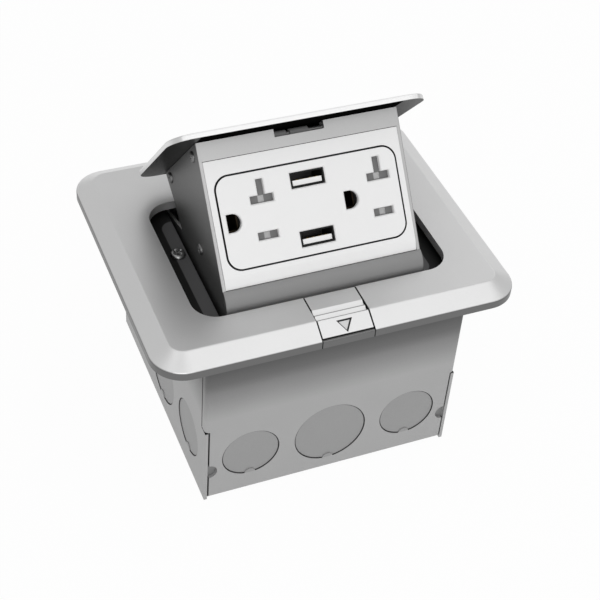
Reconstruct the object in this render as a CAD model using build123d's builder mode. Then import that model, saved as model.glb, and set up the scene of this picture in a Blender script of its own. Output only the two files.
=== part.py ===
from build123d import *
import os
from math import acos, atan2, cos, degrees, hypot, radians, sin, sqrt

os.makedirs("parts", exist_ok=True)

# Pop-up floor socket box. X runs to the right, the latch looks towards -Y, Z is up.
# Z = 0 is the outside of the box's bottom; the lid and its carriage stand open.

# Sizes in millimetres.
sheet = 1.2
floor_z = 73.0
face_w = 66.7
face_d = 32.1
face_t = 1.8
seam = 0.6
strip_w = 6.8
housing_in = 3.2
plate_h = 7.0
plate_r = 12.0
edge_h = 3.05
bevel_w = 6.8
skin = 3.4
well_w = 10.6
side_rim = 20.0
front_rim = 18.9
back_rim = 30.7
open_d = 64.2
open_r = 9.0
rim_under = 7.0
frame_t = 1.5
rail_gap = 1.2
pin_r = 2.0
fit = 0.05
hinge_back = 13.0
hinge_drop = 3.2
open_angle = 48.0
lean = 10.35
lid_t = 2.0
lid_recess = 0.25
lid_gap = 0.4
lid_end_gap = 0.5
lid_r = 8.6
lid_undercut = 1.4
face_reach = 13.9
skirt_gap = 1.3
lip_w = 2.3
blade = 12.7
ground_off = 11.9
ground_r = 3.2
usb_b = 10.3
usb_w = 12.4
usb_h = 5.2
latch_w = 19.6
latch_gap = 0.2
latch_travel = 3.0
knock_small = 22.2
knock_large = 28.2
knock_x = 31.4
knock_z = 20.3
knock_step = 0.3
tab_r = 2.1
wall_seam = 0.4
step_z = 36.6
hook_h = 2.6
notch_z = 15.0
notch_r = 3.3
foot_spacing = 60.0
foot_r = 2.5
ear_y = 2.7
screw_r = 1.7

# Values that follow from them.
body_w = face_w - 0.7
body_d = face_d - 1.1
car_in = body_w / 2 + housing_in
car_x = car_in + sheet
rail_in = car_x + rail_gap
open_w = 2 * (car_x + well_w)
plate_w = open_w + 2 * side_rim
plate_d = open_d + front_rim + back_rim
open_front = front_rim - plate_d / 2
open_back = open_front + open_d
open_y = (open_back + open_front) / 2
box_w = open_w + 2 * sheet
box_d = plate_d - 2 * (rim_under - 0.6)
hinge_y = open_back + hinge_back
hinge_z = floor_z - hinge_drop
reach = hinge_y - open_front
top_z = floor_z + plate_h
ledge_z = floor_z + frame_t
ceiling_z = top_z - skin
channel_z = floor_z + edge_h
lid_w = open_w - 2 * lid_gap
lid_d = open_d - 2 * lid_end_gap
lid_mid = open_y - hinge_y
lid_under = plate_h - lid_recess + hinge_drop - lid_t
frame_top = face_d / 2 + 6.05
frame_low = -face_d / 2 - 6.25
strip_top = frame_top + strip_w
face_s = face_reach - reach
face_h = lid_under - 0.15 - strip_top * cos(radians(lean))
web_s = face_s + 40.1
skirt_r = reach - skirt_gap
lip_r = skirt_r + lip_w
outlet_a = [15.79 - face_w / 2, face_w / 2 - 7.24]
wall_x = box_w / 2
wall_y = box_d / 2
in_x = wall_x - sheet
in_y = wall_y - sheet
ear_x = rail_in + 3.6
rear_y = hinge_y + 5.2

# Directions of the raised carriage. "back" and "up" are its own +Y and +Z when it is shut.
tilt = radians(open_angle)
lean_r = radians(lean)
back_dir = Vector(0, cos(tilt), -sin(tilt))
up_dir = Vector(0, sin(tilt), cos(tilt))
pivot = Vector(0, hinge_y, hinge_z)
face_up = back_dir * -sin(lean_r) + up_dir * cos(lean_r)
face_out = back_dir * -cos(lean_r) - up_dir * sin(lean_r)
face_at = pivot + back_dir * face_s + up_dir * face_h
face_plane = Plane(origin=face_at, x_dir=(1, 0, 0), z_dir=face_out)


def lid_level(h):
    """Plane along the lid, h above the hinge."""
    return Plane(origin=pivot + up_dir * h, x_dir=(1, 0, 0), z_dir=up_dir)


def car_side(x):
    """Plane across the carriage at x, with its axes back and up."""
    return Plane(origin=pivot + Vector(x, 0, 0), x_dir=back_dir, z_dir=(1, 0, 0))


def fixed_side(x):
    """Upright plane across the fixed parts at x, with its axes +Y and +Z."""
    return Plane(origin=(x, 0, 0), x_dir=(0, 1, 0), z_dir=(1, 0, 0))


def fp(b, n=0.0):
    """Back and up of a point b up the socket face and n in front of it."""
    s = face_s - b * sin(lean_r) - n * cos(lean_r)
    h = face_h + b * cos(lean_r) - n * sin(lean_r)
    return (s, h)


def polar(r, angle):
    """Back and up of a point at a radius and angle round the hinge."""
    return (r * cos(radians(angle)), r * sin(radians(angle)))


def save(part, name):
    part.label = name
    export_step(part, f"parts/{name}.step")


def cross_recess(plane, size, depth):
    """Cross-shaped recess cut into the open part, down from a plane."""
    with BuildSketch(plane) as cross:
        Rectangle(size, size * 0.22)
        Rectangle(size * 0.22, size)
    extrude(cross.sketch, amount=-depth, mode=Mode.SUBTRACT)


def knockouts(plane, points, size):
    """Discs sheared back from a wall's outer face, each held by a half-round tab at its foot."""
    feet = [(p[0], p[1] - size / 2) for p in points]
    for inset, depth in ((0.0, knock_step), (0.35, sheet - 0.3)):
        with BuildSketch(plane) as disc:
            with Locations(*points):
                Circle(size / 2)
                if inset:
                    Circle(size / 2 - inset, mode=Mode.SUBTRACT)
            with Locations(*feet):
                Circle(tab_r, mode=Mode.SUBTRACT)
        extrude(disc.sketch, amount=-depth, mode=Mode.SUBTRACT)


# Cover plate: bevelled, with the opening, a pocket below and the latch channel.
block_x = latch_w / 2 + 6.3
bevel_angle = degrees(atan2(bevel_w, plate_h - edge_h))
boss_x = open_w / 2 + 6
boss_y = in_y - 5.3
boss_at = [(x, y) for x in (-boss_x, boss_x) for y in (-boss_y, boss_y)]
stem_y = (open_front - 7.9, open_front - 2.5)
spring_x = latch_w / 2 + 0.7
with BuildPart() as cover_plate:
    with BuildSketch(Plane.XY.offset(floor_z)):
        RectangleRounded(plate_w, plate_d, plate_r)
    extrude(amount=edge_h)
    with BuildSketch(Plane.XY.offset(floor_z + edge_h)):
        RectangleRounded(plate_w, plate_d, plate_r)
    extrude(amount=plate_h - edge_h, taper=bevel_angle)
    with BuildSketch(Plane.XY.offset(floor_z - 1)):
        with Locations((0, open_y)):
            RectangleRounded(open_w, open_d, open_r)
    extrude(amount=plate_h + 2, mode=Mode.SUBTRACT)
    rim_top = cover_plate.edges().group_by(Axis.Z)[-1]
    outer_top = [e for e in rim_top if abs(e.center().X) > open_w / 2 + 5
                 or abs(e.center().Y) > abs(open_front) + 8]
    fillet(outer_top, 1.2)
    bevel_foot = [e for e in cover_plate.edges() if abs(e.center().Z - channel_z) < 0.01]
    fillet(bevel_foot, 0.7)
    with BuildSketch(Plane.XY.offset(floor_z)):
        RectangleRounded(plate_w - 2 * rim_under, plate_d - 2 * rim_under + 1.6, 7)
        with Locations((0, (open_front - wall_y) / 2)):
            Rectangle(2 * block_x, 16, mode=Mode.SUBTRACT)
    extrude(amount=plate_h - skin, mode=Mode.SUBTRACT)
    with BuildSketch(Plane.XY.offset(floor_z)):
        with Locations((0, (open_front - wall_y) / 2)):
            Rectangle(2 * block_x, 14)
    extrude(amount=0.3, mode=Mode.SUBTRACT)
    with BuildSketch(Plane.XY.offset(ledge_z)):
        with Locations(*boss_at):
            Circle(3.2)
    extrude(amount=ceiling_z - ledge_z + 0.5)
    with BuildSketch(Plane.XY.offset(ledge_z)):
        with Locations(*boss_at):
            Circle(1.25)
    extrude(amount=4.3, mode=Mode.SUBTRACT)
    with BuildSketch(Plane.XY.offset(channel_z)):
        with Locations((0, (open_front - plate_d / 2) / 2 - 0.4)):
            Rectangle(latch_w, plate_d / 2 + open_front + 1.2)
    extrude(amount=plate_h, mode=Mode.SUBTRACT)
    with BuildSketch(Plane.XY.offset(floor_z - 1)):
        with Locations((0, (stem_y[0] + stem_y[1] - latch_travel) / 2)):
            Rectangle(6.1, stem_y[1] - stem_y[0] + latch_travel + 0.2)
        with Locations((0, open_front - 1.6)):
            Rectangle(13.2, 3.4)
    extrude(amount=edge_h + 1.5, mode=Mode.SUBTRACT)
    with BuildSketch(Plane.XY.offset(floor_z - 3.8)):
        with Locations((-spring_x, -in_y + 0.8), (spring_x, -in_y + 0.8)):
            Rectangle(6, 1.2)
    extrude(amount=4.4)
save(cover_plate.part, "cover_plate")

# Inner frame: ledges beside the well, hinge cheeks and the front wall that stops the lip.
skirt_foot = 16.0
low_end = fp(frame_low - 0.2)
skirt_to = 180 + degrees(atan2(low_end[1], low_end[0]) + radians(180)) + skirt_foot + 4
lip_angle = skirt_to - open_angle - 180.0
stop_z = hinge_z - (lip_r - 0.3) * sin(radians(lip_angle - 0.8)) + 0.1
cheek_y = (hinge_y - 12.2, hinge_y + 6.3)
with BuildPart() as inner_frame:
    with BuildSketch(Plane.XY.offset(floor_z)):
        RectangleRounded(plate_w - 16, plate_d - 14.8, 6)
        with Locations((0, (open_front + rear_y) / 2)):
            Rectangle(2 * rail_in, rear_y - open_front - 0.2, mode=Mode.SUBTRACT)
        with Locations((0, open_front - 6.8)):
            Rectangle(2 * block_x + 0.8, 14, mode=Mode.SUBTRACT)
    extrude(amount=frame_t)
    with BuildSketch(fixed_side(-rail_in)):
        with Locations((open_front - 0.5, (stop_z + floor_z) / 2)):
            Rectangle(sheet, floor_z - stop_z)
    extrude(amount=2 * rail_in)
    for x in (-rail_in - frame_t, rail_in):
        with BuildSketch(fixed_side(x)):
            with Locations((sum(cheek_y) / 2, floor_z - 5.0)):
                Rectangle(cheek_y[1] - cheek_y[0], 10.2)
        extrude(amount=frame_t)
    with BuildSketch(fixed_side(0)):
        with Locations((hinge_y, hinge_z)):
            Circle(pin_r + fit)
    extrude(amount=50, both=True, mode=Mode.SUBTRACT)
    with BuildSketch(Plane.XY.offset(floor_z - 1)):
        with Locations((-ear_x, ear_y), (ear_x, ear_y)):
            Circle(2.0)
    extrude(amount=4, mode=Mode.SUBTRACT)
    with BuildSketch(Plane.XZ.offset(-open_front - 3)):
        with Locations((0, floor_z - 2)):
            Rectangle(13.2, 4.2)
    extrude(amount=6, mode=Mode.SUBTRACT)
    with Locations(*[Location((x, y, floor_z), (180, 0, 0)) for x, y in boss_at]):
        CounterSinkHole(1.4, 2.9, frame_t + 2)
save(inner_frame.part, "inner_frame")

# Countersunk screws that pull the cover onto the frame from below.
with BuildPart() as cover_screws:
    with BuildSketch(Plane.XY.offset(floor_z)):
        with Locations(*boss_at):
            Circle(1.2)
    extrude(amount=5.2)
    for x, y in boss_at:
        with BuildSketch(Plane(origin=(x, y, 0), x_dir=(1, 0, 0), z_dir=(0, -1, 0))):
            with BuildLine():
                Polyline((0, floor_z), (2.75, floor_z), (1.2, floor_z + 1.4), (0, floor_z + 1.4), close=True)
            make_face()
        revolve(axis=Axis((x, y, 0), (0, 0, 1)))
    for x, y in boss_at:
        with BuildSketch(Plane(origin=(x, y, floor_z), x_dir=(1, 0, 0), z_dir=(0, 0, -1))):
            Rectangle(2.6, 0.6)
            Rectangle(0.6, 2.6)
        extrude(amount=-0.8, mode=Mode.SUBTRACT)
save(cover_screws.part, "cover_screws")

# Cross-head screws on the ledges and the clinch nuts under the box's ears.
ear_at = [(-ear_x, ear_y), (ear_x, ear_y)]
with BuildPart() as mounting_screws:
    with BuildSketch(Plane.XY.offset(ledge_z)):
        with Locations(*ear_at):
            Circle(2.9)
    extrude(amount=1.7)
    chamfer(mounting_screws.edges().filter_by(GeomType.CIRCLE).group_by(Axis.Z)[-1], 0.6)
    with BuildSketch(Plane.XY.offset(ledge_z)):
        with Locations(*ear_at):
            Circle(screw_r)
    extrude(amount=-8.2)
    for x, y in ear_at:
        cross_recess(Plane(origin=(x, y, ledge_z + 1.7)), 3.2, 1.0)
save(mounting_screws.part, "mounting_screws")

nut_z = floor_z - sheet
with BuildPart() as mounting_nuts:
    with BuildSketch(Plane.XY.offset(nut_z)):
        with Locations(*ear_at):
            RegularPolygon(3.4, 6)
            Circle(screw_r + fit, mode=Mode.SUBTRACT)
    extrude(amount=-3.2)
save(mounting_nuts.part, "mounting_nuts")

# Hinge pin and its clip.
with BuildPart() as hinge_pin:
    with BuildSketch(fixed_side(-rail_in - frame_t - 2.2)):
        with Locations((hinge_y, hinge_z)):
            Circle(pin_r)
    extrude(amount=2 * (rail_in + frame_t) + 2.4)
    with BuildSketch(fixed_side(rail_in + frame_t)):
        with Locations((hinge_y, hinge_z)):
            Circle(3.0)
    extrude(amount=1.2)
save(hinge_pin.part, "hinge_pin")

with BuildPart() as pin_clip:
    with BuildSketch(fixed_side(-rail_in - frame_t - 0.8)):
        with Locations((hinge_y, hinge_z)):
            Circle(3.0)
            Circle(pin_r, mode=Mode.SUBTRACT)
        with Locations((hinge_y, hinge_z - 2.5)):
            Rectangle(1.6, 2.4, mode=Mode.SUBTRACT)
    extrude(amount=0.8)
save(pin_clip.part, "pin_clip")

# Torsion springs round the pin: one leg under the rear cross strip, one on the carriage.
coil_r = 3.3
coil_wire = 1.0
coil_turns = 3
coil_pitch = 1.5


def leg_start(to_y, to_z, side):
    """Point on the coil where a straight leg to a point leaves it."""
    away = hypot(to_y, to_z)
    angle = atan2(to_z, to_y) + side * acos(coil_r / away)
    return (coil_r * cos(angle), coil_r * sin(angle)), angle


leg_a_end = (rear_y + 2.4 - hinge_y, floor_z - 0.5 * coil_wire - hinge_z)
leg_a, leg_a_angle = leg_start(leg_a_end[0], leg_a_end[1], -1)
leg_b_closed = (web_s + 2.2, -17.2)
leg_b_end = (
    leg_b_closed[0] * cos(tilt) + leg_b_closed[1] * sin(tilt),
    -leg_b_closed[0] * sin(tilt) + leg_b_closed[1] * cos(tilt),
)
leg_b, leg_b_angle = leg_start(leg_b_end[0], leg_b_end[1], 1)
coil_len = coil_turns * coil_pitch
coil_x = car_in - 9.2
with BuildPart() as torsion_springs:
    for side in (-1, 1):
        with BuildSketch(fixed_side(side * coil_x - coil_len / 2)):
            with Locations((hinge_y, hinge_z)):
                Circle(coil_r + coil_wire / 2)
                Circle(coil_r - coil_wire / 2, mode=Mode.SUBTRACT)
        extrude(amount=coil_len)
        for k in range(1, coil_turns):
            at = side * coil_x - coil_len / 2 + k * coil_pitch
            with BuildSketch(fixed_side(at - 0.15)):
                with Locations((hinge_y, hinge_z)):
                    Circle(coil_r + coil_wire)
                    Circle(coil_r + coil_wire * 0.3, mode=Mode.SUBTRACT)
            extrude(amount=0.3, mode=Mode.SUBTRACT)
        for start, end, at in ((leg_a, leg_a_end, -1), (leg_b, leg_b_end, 1)):
            x = side * coil_x + at * side * (coil_len / 2 - coil_wire / 2)
            run = Vector(0, end[0] - start[0], end[1] - start[1])
            begin = Vector(x, hinge_y + start[0], hinge_z + start[1])
            with BuildSketch(Plane(origin=begin, x_dir=(1, 0, 0), z_dir=run.normalized())):
                RegularPolygon(coil_wire / 2, 6)
            extrude(amount=run.length)
save(torsion_springs.part, "torsion_springs")

# Back box: front, bottom and back from one folded sheet, with knockouts.
low_x = in_x - wall_seam
wrap_y = wall_y - 3.7
with BuildPart() as box_shell:
    with BuildSketch(fixed_side(-low_x)):
        with BuildLine():
            Polyline(
                (-wall_y, floor_z), (-wall_y, 0), (wall_y, 0), (wall_y, floor_z),
                (in_y, floor_z), (in_y, sheet), (-in_y, sheet), (-in_y, floor_z), close=True,
            )
        make_face()
        fillet([v for v in vertices() if abs(v.Y) < 0.01], 2.4)
        fillet([v for v in vertices() if abs(v.Y - sheet) < 0.01], 1.2)
    extrude(amount=2 * low_x)
    with BuildSketch(Plane.XY.offset(step_z)):
        RectangleRounded(box_w, box_d, 1.6)
        Rectangle(2 * in_x, 2 * in_y, mode=Mode.SUBTRACT)
        Rectangle(box_w + 2, 2 * wrap_y, mode=Mode.SUBTRACT)
    extrude(amount=floor_z - hook_h - step_z)
    with BuildSketch(Plane.XZ):
        with Locations((-low_x, notch_z), (low_x, notch_z)):
            Circle(notch_r)
    extrude(amount=wall_y + 2, both=True, mode=Mode.SUBTRACT)
    for side in (-1, 1):
        face = Plane(origin=(0, side * wall_y, 0), x_dir=(-side, 0, 0), z_dir=(0, side, 0))
        knockouts(face, [(-knock_x, knock_z), (knock_x, knock_z)], knock_small)
        knockouts(face, [(0, knock_z)], knock_large)
    with BuildSketch(Plane.XY):
        with GridLocations(foot_spacing, foot_spacing, 2, 2):
            Circle(foot_r)
        with Locations((18, 0)):
            Circle(1.9)
    extrude(amount=sheet, mode=Mode.SUBTRACT)
save(box_shell.part, "box_shell")


def box_side(side):
    """Side wall with its flanges, ear and knockouts; side is -1 for left."""
    with BuildPart() as wall:
        with BuildSketch(fixed_side(side * wall_x)):
            with Locations((0, (step_z - wall_seam) / 2)):
                Rectangle(box_d - 0.1, step_z - wall_seam)
            with Locations((0, (step_z + floor_z) / 2 - 1)):
                Rectangle(2 * (wrap_y - wall_seam), floor_z - step_z + 2)
            with Locations((0, floor_z - (hook_h - wall_seam) / 2)):
                Rectangle(box_d - 0.1, hook_h - wall_seam)
        extrude(amount=-side * sheet)
        with BuildSketch(Plane.XY.offset(sheet)):
            with Locations((side * (in_x - 4), 0)):
                Rectangle(8.2, 2 * in_y - 3.0)
        extrude(amount=sheet)
        with BuildSketch(Plane.XY.offset(sheet + 1.3)):
            for end in (-1, 1):
                with Locations((side * (in_x - 4), end * (in_y - sheet / 2))):
                    Rectangle(8.2, sheet)
        extrude(amount=step_z - sheet - 1.5)
        with BuildSketch(Plane.XY.offset(floor_z - sheet)):
            with Locations((side * (wall_x + rail_in + 0.3) / 2, ear_y)):
                Rectangle(wall_x - rail_in - 0.3, 24)
            with Locations((side * ear_x, ear_y)):
                Circle(2.0, mode=Mode.SUBTRACT)
        extrude(amount=sheet)
        face = Plane(origin=(side * wall_x, 0, 0), x_dir=(0, side, 0), z_dir=(side, 0, 0))
        knockouts(face, [(-knock_x, knock_z), (knock_x, knock_z)], knock_small)
        knockouts(face, [(0, knock_z)], knock_large)
    return wall.part


save(box_side(-1), "box_side_left")
save(box_side(1), "box_side_right")

# Earth screw in the box's bottom.
with BuildPart() as ground_screw:
    with BuildSketch(Plane.XY.offset(sheet)):
        with Locations((18, 0)):
            RegularPolygon(3.4, 6)
    extrude(amount=2.4)
    with BuildSketch(Plane.XY.offset(sheet + 0.01)):
        with Locations((18, 0)):
            Circle(1.85)
    extrude(amount=-sheet)
save(ground_screw.part, "ground_screw")

# Lid: rounded plate with an undercut rear edge and two rails for the side screws.
lid_screw_at = [(web_s - 2.2, 4.6), (face_s + 1.8, 4.6)]
rail_at = (face_s - 2.5, web_s + 1.7)
with BuildPart() as lid:
    with BuildSketch(lid_level(lid_under)):
        with Locations((0, lid_mid - lid_undercut / 2)):
            RectangleRounded(lid_w, lid_d - lid_undercut, lid_r)
    with BuildSketch(lid_level(lid_under + lid_t)):
        with Locations((0, lid_mid)):
            RectangleRounded(lid_w, lid_d, lid_r)
    loft(ruled=True)
    fillet(lid.faces().sort_by(Axis((0, 0, 0), tuple(up_dir)))[-1].edges(), 0.6)
    for x in (-car_in, car_in - 1.6):
        with BuildSketch(car_side(x)):
            with Locations((sum(rail_at) / 2, (1.9 + lid_under + 0.1) / 2)):
                Rectangle(rail_at[1] - rail_at[0], lid_under + 0.1 - 1.9)
        extrude(amount=1.6)
    with BuildSketch(car_side(0)):
        with Locations(*lid_screw_at):
            Circle(1.05)
    extrude(amount=car_in + 1, both=True, mode=Mode.SUBTRACT)
save(lid.part, "lid")

# Carriage shell: front strip with its notch, side plates with arms, and the curved skirt.
boss_b = -8.0
boss_n = -18.8
pin_b = frame_top + 4.5
pin_n = -2.8
side_screw_at = [fp(boss_b, boss_n)]
strip_low = frame_top + 0.2
notch_b = frame_top + 4.0
arm_r = 5.2
skirt_start = low_end
skirt_inner = fp(frame_low - 0.2, -sheet)
start_angle = 180 + degrees(atan2(skirt_start[1], skirt_start[0]) + radians(180))
skirt_mid = fp(frame_low - 3.7, 0.8)
skirt_from = start_angle + 5.5
with BuildPart() as carriage_shell:
    for x in (-car_x, car_in):
        with BuildSketch(car_side(x)):
            with BuildLine():
                outline = Polyline(
                    polar(skirt_r - 0.6, skirt_from), fp(frame_low - 0.2, -0.5), fp(strip_top),
                    (web_s + 3.8, lid_under - 0.2), (web_s + 1.1, -3.2), (web_s - 0.2, -14.8),
                    (-4.2, -3.0), (3.6, -3.7), (web_s + 12.7, -22.0),
                    (web_s - 7.8, 26.9 - skirt_r), polar(skirt_r - sheet, skirt_to),
                )
                ThreePointArc(
                    outline @ 1, polar(skirt_r - 0.6, (skirt_from + skirt_to) / 2), outline @ 0
                )
            make_face()
            Circle(arm_r)
            Circle(3.55, mode=Mode.SUBTRACT)
            with Locations(*(side_screw_at + lid_screw_at)):
                Circle(screw_r + 0.1, mode=Mode.SUBTRACT)
        extrude(amount=sheet)
    with BuildSketch(face_plane):
        with Locations((0, (strip_low + strip_top) / 2)):
            Rectangle(2 * car_in + 0.4, strip_top - strip_low)
        with Locations((0, notch_b + 2)):
            Rectangle(18.4, 4, mode=Mode.SUBTRACT)
    extrude(amount=-sheet)
    for x in (-10.4, 9.2):
        with BuildSketch(car_side(x)):
            with BuildLine():
                Polyline(
                    fp(pin_b - 3.2, -sheet / 2), fp(pin_b + 2.0, -sheet / 2),
                    fp(pin_b + 1.6, -4.4), fp(pin_b - 1.8, -4.4), close=True
                )
            make_face()
            with Locations(fp(pin_b, pin_n)):
                Circle(0.85, mode=Mode.SUBTRACT)
        extrude(amount=sheet)
    with BuildSketch(car_side(-car_x)):
        with BuildLine():
            ThreePointArc(skirt_start, skirt_mid, polar(skirt_r, skirt_from))
            middle = (skirt_from + skirt_to) / 2
            outer = ThreePointArc(
                polar(skirt_r, skirt_from), polar(skirt_r, middle), polar(skirt_r, skirt_to - 0.8)
            )
            Polyline(
                outer @ 1, polar(lip_r, skirt_to - 0.8), polar(lip_r, skirt_to),
                polar(skirt_r - sheet, skirt_to),
            )
            ThreePointArc(
                polar(skirt_r - sheet, skirt_to), polar(skirt_r - sheet, middle),
                polar(skirt_r - sheet, skirt_from),
            )
            ThreePointArc(
                polar(skirt_r - sheet, skirt_from), fp(frame_low - 3.7, 0.8 - sheet), skirt_inner
            )
            Line(skirt_inner, skirt_start)
        make_face()
    extrude(amount=2 * car_x)
    with BuildSketch(car_side(-car_in - 0.05)):
        with BuildLine():
            Polyline(
                (web_s, -16.4), (web_s + 1.2, -16.4), (web_s + 3.7, -27.0), (web_s + 2.5, -27.0),
                close=True,
            )
        make_face()
    extrude(amount=2 * car_in + 0.1)
save(carriage_shell.part, "carriage_shell")

# Flanged bushes between the arms and the pin.
with BuildPart() as hinge_bushes:
    for side in (-1, 1):
        with BuildSketch(fixed_side(side * (car_in - 0.8))):
            with Locations((hinge_y, hinge_z)):
                Circle(3.5)
                Circle(pin_r + fit, mode=Mode.SUBTRACT)
        extrude(amount=side * (sheet + 0.8 + 0.5))
        with BuildSketch(fixed_side(side * car_x)):
            with Locations((hinge_y, hinge_z)):
                Circle(4.8)
                Circle(pin_r + fit, mode=Mode.SUBTRACT)
        extrude(amount=side * (rail_in - car_x - 0.1))
save(hinge_bushes.part, "hinge_bushes")


def side_screw_set(points, inner):
    """Pan-head screws through both side plates, reaching in to x = inner."""
    with BuildPart() as screws:
        for side in (-1, 1):
            with BuildSketch(car_side(side * car_x)):
                with Locations(*points):
                    Circle(2.1)
            extrude(amount=side * 0.7)
            with BuildSketch(car_side(side * car_x)):
                with Locations(*points):
                    Circle(1.0)
            extrude(amount=-side * (car_x - inner))
            with BuildSketch(car_side(side * (car_x + 0.7))):
                with Locations(*points):
                    Rectangle(2.4, 0.6)
                    Rectangle(0.6, 2.4)
            extrude(amount=-side * 0.5, mode=Mode.SUBTRACT)
    return screws.part


save(side_screw_set(lid_screw_at, car_in - 1.6), "lid_screws")
save(side_screw_set(side_screw_at, car_in - 5.0), "side_screws")

# Strike pin and its two sleeves behind the notch.
with BuildPart() as strike_pin:
    with BuildSketch(car_side(-10.4)):
        with Locations(fp(pin_b, pin_n)):
            Circle(0.8)
    extrude(amount=20.8)
save(strike_pin.part, "strike_pin")

with BuildPart() as strike_sleeves:
    for start, length in ((-9.1, 4.8), (-2.9, 6.8)):
        with BuildSketch(car_side(start)):
            with Locations(fp(pin_b, pin_n)):
                Circle(1.5)
                Circle(0.85, mode=Mode.SUBTRACT)
        extrude(amount=length)
save(strike_sleeves.part, "strike_sleeves")

# White frame round the socket face, with a sloped lower lip.
with BuildPart() as face_frame:
    with BuildSketch(face_plane):
        with Locations((0, (frame_top + frame_low) / 2)):
            Rectangle(2 * car_in - 0.2, frame_top - frame_low)
        RectangleRounded(face_w + 2 * seam, face_d + 2 * seam, 5.4, mode=Mode.SUBTRACT)
    extrude(amount=-face_t)
    with BuildSketch(car_side(-car_in)):
        with BuildLine():
            Polyline(fp(-18.4, 0.1), fp(-23.0, 0.1), fp(-23.0, -0.9), fp(-18.4, 0.0), close=True)
        make_face()
    extrude(amount=2 * car_in, mode=Mode.SUBTRACT)
save(face_frame.part, "face_frame")

# Socket face: T slots, plain slots, D holes and the two USB mouths.
slot_b = blade / 2
slot_w = 8.7
slot_h = 2.8
with BuildPart() as receptacle_face:
    with BuildSketch(face_plane.offset(-face_t)):
        RectangleRounded(face_w, face_d, 4.9)
    extrude(amount=face_t + 0.2)
    with BuildSketch(face_plane.offset(-face_t - 1)):
        for a in outlet_a:
            with Locations((a, slot_b)):
                Rectangle(slot_w, slot_h)
            with Locations((a, slot_b + slot_h / 2 + 2.7)):
                Rectangle(2.7, 5.6)
            with Locations((a, -slot_b)):
                Rectangle(slot_w - 1.1, slot_h)
            with Locations((a - ground_off, 0)):
                Circle(ground_r)
            with Locations((a - ground_off - 1.0, 0)):
                Rectangle(2.0, 2 * ground_r)
            with Locations((a - ground_off - 4.0, 0)):
                Rectangle(4.0, 2 * ground_r, mode=Mode.SUBTRACT)
        with Locations((0, usb_b), (0, -usb_b)):
            Rectangle(usb_w + 0.4, usb_h + 0.4)
    extrude(amount=face_t + 2, mode=Mode.SUBTRACT)
    rims = [e for e in receptacle_face.edges()
            if abs((e.center() - face_at).dot(face_out) - 0.2) < 0.01
            and abs((e.center() - face_at).dot(face_up)) < face_d / 2 - 2.2]
    rims = [e for e in rims if abs(e.center().X) < face_w / 2 - 0.5]
    chamfer(rims, 0.35)
save(receptacle_face.part, "receptacle_face")

# Housing behind the face, with chambers for the contacts and a bay for the USB ports.
body_back = -28.0
chamber_n = -21.0
board_n = -14.6
board_t = 1.6
usb_bay = 2 * usb_b + 7.8
terminal_n = 16.0
with BuildPart() as receptacle_body:
    with BuildSketch(face_plane.offset(-face_t)):
        Rectangle(2 * car_in - 0.2, face_d + 5.3)
    extrude(amount=-2.2)
    with BuildSketch(face_plane.offset(-face_t)):
        Rectangle(body_w, body_d)
    extrude(amount=body_back + face_t)
    with BuildSketch(face_plane.offset(-14.8)):
        with Locations((0, boss_b)):
            Rectangle(2 * car_in - 2.0, 8)
    extrude(amount=-8)
    with BuildSketch(face_plane.offset(-face_t)):
        for a in outlet_a:
            with Locations((a, 2.2)):
                Rectangle(10.4, 29.2)
    extrude(amount=-1.5, mode=Mode.SUBTRACT)
    with BuildSketch(face_plane.offset(-face_t)):
        for a in outlet_a:
            with Locations((a, slot_b), (a, -slot_b)):
                Rectangle(9.2, 4.8)
            with Locations((a - ground_off, 0)):
                Rectangle(6.8, 6.8)
    extrude(amount=chamber_n + face_t, mode=Mode.SUBTRACT)
    with BuildSketch(face_plane.offset(-face_t)):
        Rectangle(usb_w + 4.2, usb_bay)
    extrude(amount=board_n - board_t + face_t, mode=Mode.SUBTRACT)
    with BuildSketch(face_plane.offset(chamber_n + 0.8)):
        for a in outlet_a:
            for side in (-1, 1):
                with Locations((a, side * (slot_b + body_d / 2 + 2) / 2)):
                    Rectangle(6.2, body_d / 2 + 2 - slot_b)
    extrude(amount=-0.8, mode=Mode.SUBTRACT)
    with BuildSketch(face_plane.offset(chamber_n)):
        for a in outlet_a:
            with Locations((a - ground_off, 0)):
                Rectangle(5.2, 1.0)
    extrude(amount=body_back - chamber_n, mode=Mode.SUBTRACT)
    with BuildSketch(car_side(0)):
        with Locations(*side_screw_at):
            Circle(1.05)
    extrude(amount=car_in, both=True, mode=Mode.SUBTRACT)
    with BuildSketch(car_side(0)):
        with Locations(*side_screw_at):
            Circle(1.2)
    extrude(amount=body_w / 2 - 3, both=True)
    with BuildSketch(Plane(origin=face_at, x_dir=(1, 0, 0), z_dir=face_up)):
        with Locations(*[(a, terminal_n) for a in outlet_a]):
            Circle(1.45)
    extrude(amount=body_d / 2 + 1, both=True, mode=Mode.SUBTRACT)
    with BuildSketch(Plane(origin=face_at, x_dir=(1, 0, 0), z_dir=face_up)):
        with Locations(*[(a, terminal_n) for a in outlet_a]):
            Circle(1.6)
    extrude(amount=body_d / 2 - 5, both=True)
    with BuildSketch(face_plane.offset(-face_t - 1.5)):
        for a in outlet_a:
            with Locations((a, slot_b), (a, -slot_b)):
                Rectangle(9.2, 4.8)
    extrude(amount=chamber_n + face_t + 1.5, mode=Mode.SUBTRACT)
    with BuildSketch(face_plane.offset(body_back)):
        with Locations((0, boss_b)):
            Circle(1.65)
    extrude(amount=5, mode=Mode.SUBTRACT)
save(receptacle_body.part, "receptacle_body")


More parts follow.
